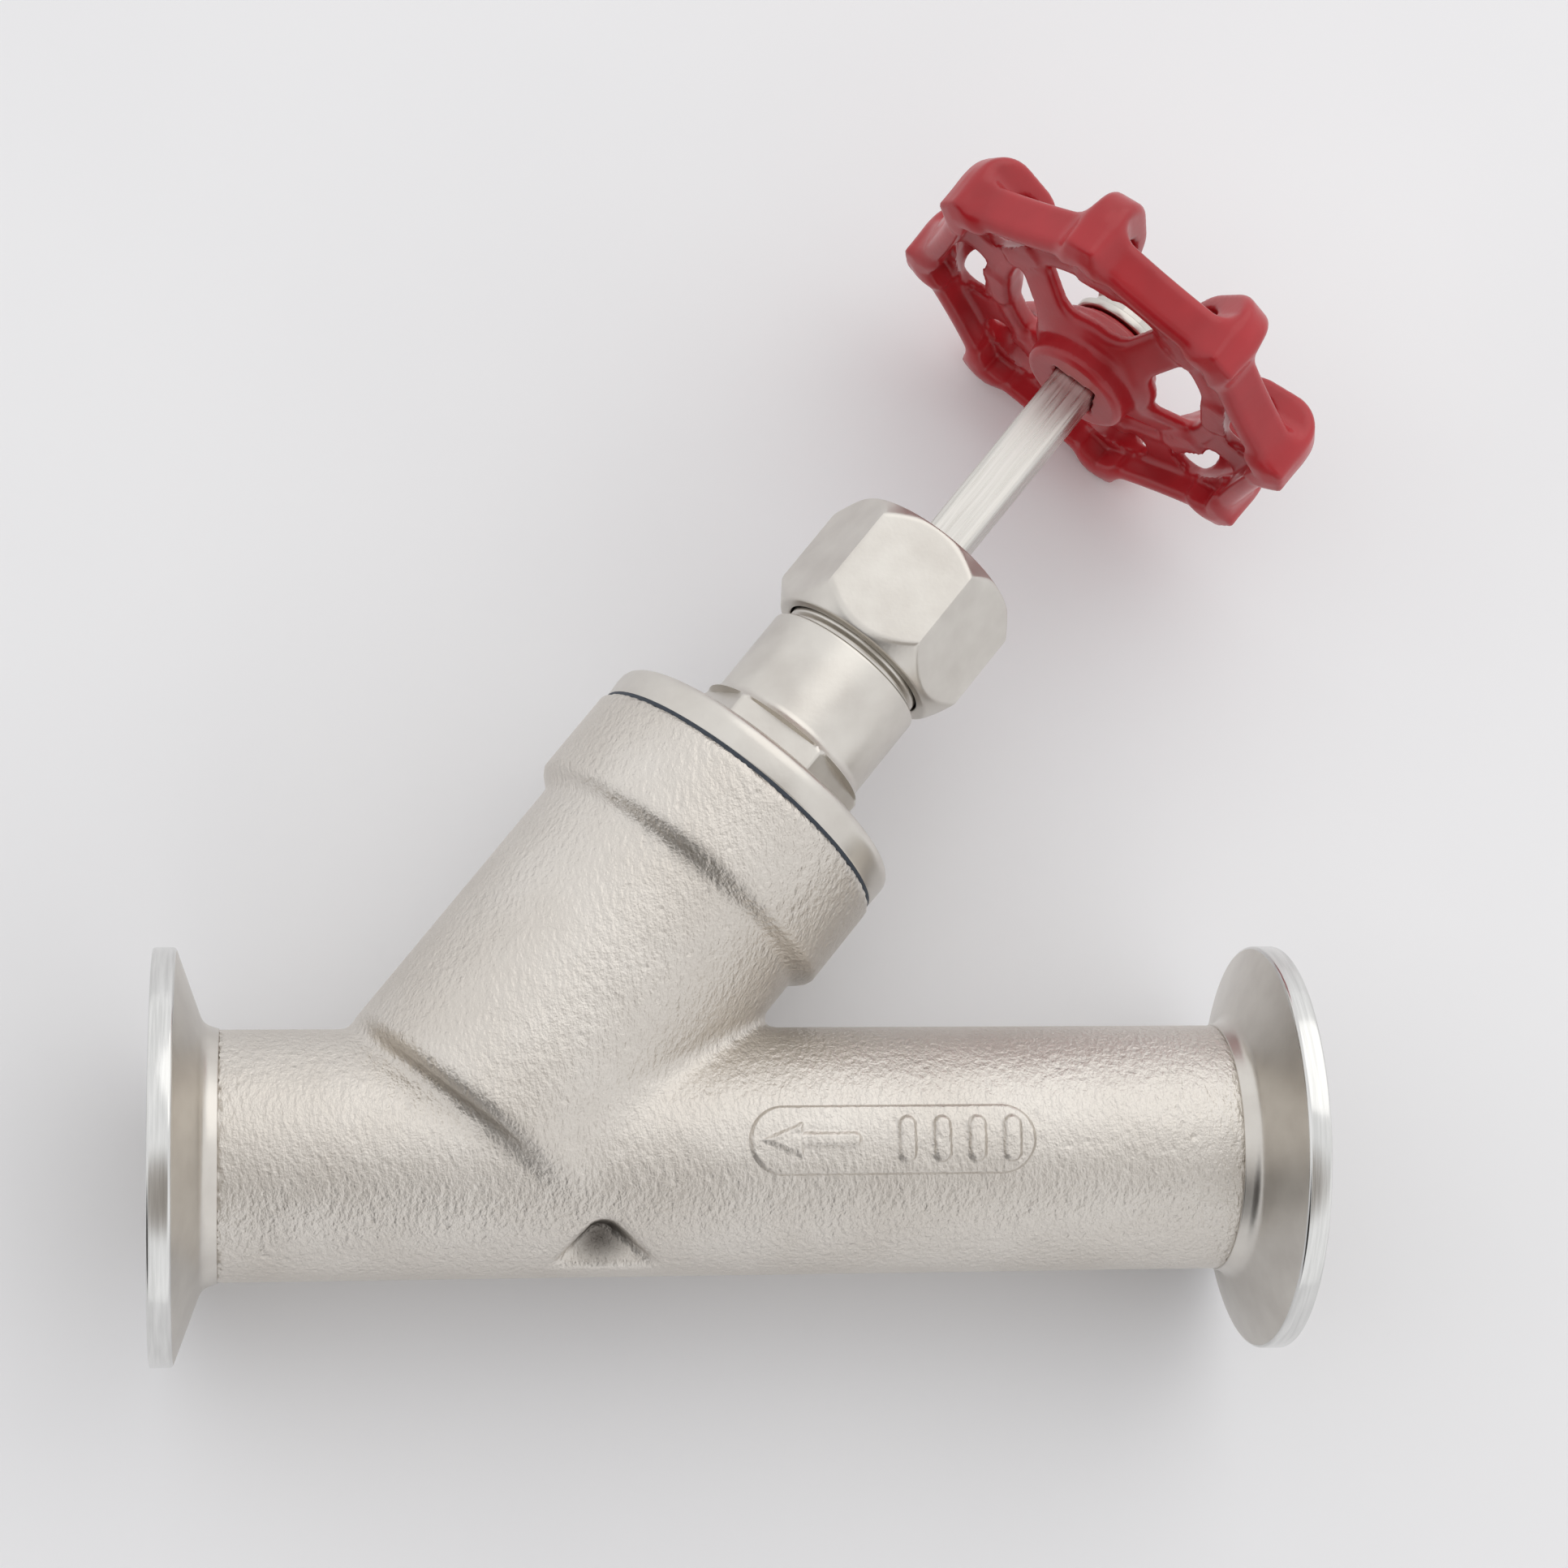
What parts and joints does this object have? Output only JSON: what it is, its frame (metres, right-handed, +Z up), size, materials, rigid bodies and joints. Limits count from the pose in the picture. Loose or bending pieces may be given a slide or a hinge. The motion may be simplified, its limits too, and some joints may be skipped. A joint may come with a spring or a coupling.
{
  "type": "manual y-pattern globe valve",
  "caption": "Stainless Y-pattern globe valve with clamp ferrule ends, screwed bonnet, gland-packed rising stem and a lobed red handwheel.",
  "frame": {"origin": "middle of the footprint on the bench that the valve lies on", "axes": "+X along the run towards the inlet ferrule, +Y towards the bonnet side, +Z up from the bench"},
  "size_m": [0.1476, 0.1526, 0.059],
  "materials": {
    "cast_steel": "investment cast and shot blasted, fine grain with small pits",
    "turned_steel": "satin, turned and lightly blasted",
    "ferrule_steel": "turned, bright rim and matt cone",
    "red_enamel": "glossy red enamel on a die cast wheel",
    "seal_ptfe": "satin white PTFE",
    "gasket_graphite": "matt dark fibre sheet"
  },
  "bodies": {
    "valve": {"valve_body": "cast_steel", "inlet_ferrule": "ferrule_steel", "outlet_ferrule": "ferrule_steel", "bonnet": "turned_steel", "bonnet_gasket": "gasket_graphite", "packing_support_ring": "turned_steel", "packing_ring_1": "seal_ptfe", "packing_ring_2": "seal_ptfe", "packing_ring_3": "seal_ptfe", "gland_follower": "turned_steel", "gland_nut": "turned_steel"},
    "disc": {"disc_holder": "turned_steel", "seat_seal": "seal_ptfe", "seal_washer": "turned_steel", "seal_nut": "turned_steel", "disc_retainer": "turned_steel"},
    "spindle": {"stem": "turned_steel", "handwheel": "red_enamel", "wheel_washer": "turned_steel", "spring_washer": "turned_steel", "wheel_nut": "turned_steel"}
  },
  "joints": [
    {"name": "disc_lift", "type": "slide", "parent": "valve", "child": "disc", "axis": [0.6361, 0.771, 0.0316], "range_m": [-0.0111, 0]},
    {"name": "handwheel_turn", "type": "hinge", "parent": "disc", "child": "spindle", "pos_m": [0.03853, 0.04146, 0.02903], "axis": [0.6361, 0.771, 0.0316], "range_deg": [-1320, 0]}
  ],
  "couplings": [
    {"joint": "disc_lift", "follows": "handwheel_turn", "m_per_rad": 0.00047746}
  ]
}
